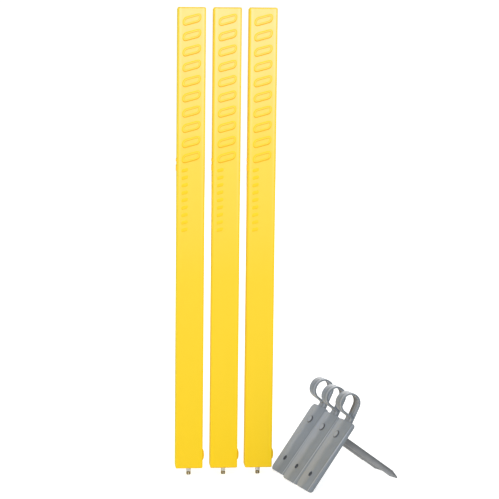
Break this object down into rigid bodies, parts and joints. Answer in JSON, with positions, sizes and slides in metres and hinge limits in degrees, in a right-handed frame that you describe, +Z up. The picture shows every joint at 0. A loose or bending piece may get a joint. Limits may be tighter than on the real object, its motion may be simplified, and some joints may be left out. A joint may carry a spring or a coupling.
{
  "type": "cricket stumps",
  "caption": "Plastic cricket stumps on split metal pins, standing in a row beside their spiked steel ground bases with finger loops.",
  "frame": {"origin": "on the ground, under the middle of the whole set", "axes": "+Z up along the stumps; +X along the row of stumps, towards the bases; the stumps face -Y"},
  "size_m": [0.345, 0.1724, 0.7234],
  "materials": {
    "stump_plastic": "satin moulded plastic, warm yellow",
    "plug_plastic": "plain moulded plastic",
    "collar_steel": "bright turned steel",
    "tip_brass": "dull brass",
    "zinc_steel": "satin zinc plating, softly mottled"
  },
  "bodies": {
    "stump_1": {"stump_1_front_shell": "stump_plastic", "stump_1_back_shell": "stump_plastic", "stump_1_foot_plug": "plug_plastic", "stump_1_pin_collar": "collar_steel", "stump_1_pin_tip": "tip_brass"},
    "stump_2": {"stump_2_front_shell": "stump_plastic", "stump_2_back_shell": "stump_plastic", "stump_2_foot_plug": "plug_plastic", "stump_2_pin_collar": "collar_steel", "stump_2_pin_tip": "tip_brass"},
    "stump_3": {"stump_3_front_shell": "stump_plastic", "stump_3_back_shell": "stump_plastic", "stump_3_foot_plug": "plug_plastic", "stump_3_pin_collar": "collar_steel", "stump_3_pin_tip": "tip_brass"},
    "base_1": {"base_1_plate": "zinc_steel", "base_1_pull_loop": "zinc_steel", "base_1_spike": "zinc_steel"},
    "base_2": {"base_2_plate": "zinc_steel", "base_2_pull_loop": "zinc_steel", "base_2_spike": "zinc_steel"},
    "base_3": {"base_3_plate": "zinc_steel", "base_3_pull_loop": "zinc_steel", "base_3_spike": "zinc_steel"}
  },
  "joints": [
    {"name": "stump_1_lift", "type": "slide", "parent": "base_2", "child": "stump_1", "axis": [0, 0, 1], "range_m": [0, 0.3]},
    {"name": "stump_2_lift", "type": "slide", "parent": "base_2", "child": "stump_2", "axis": [0, 0, 1], "range_m": [0, 0.3]},
    {"name": "stump_3_lift", "type": "slide", "parent": "base_2", "child": "stump_3", "axis": [0, 0, 1], "range_m": [0, 0.3]},
    {"name": "base_1_lift", "type": "slide", "parent": "base_2", "child": "base_1", "axis": [0, 0, 1], "range_m": [0, 0.3]},
    {"name": "base_3_lift", "type": "slide", "parent": "base_2", "child": "base_3", "axis": [0, 0, 1], "range_m": [0, 0.3]}
  ]
}
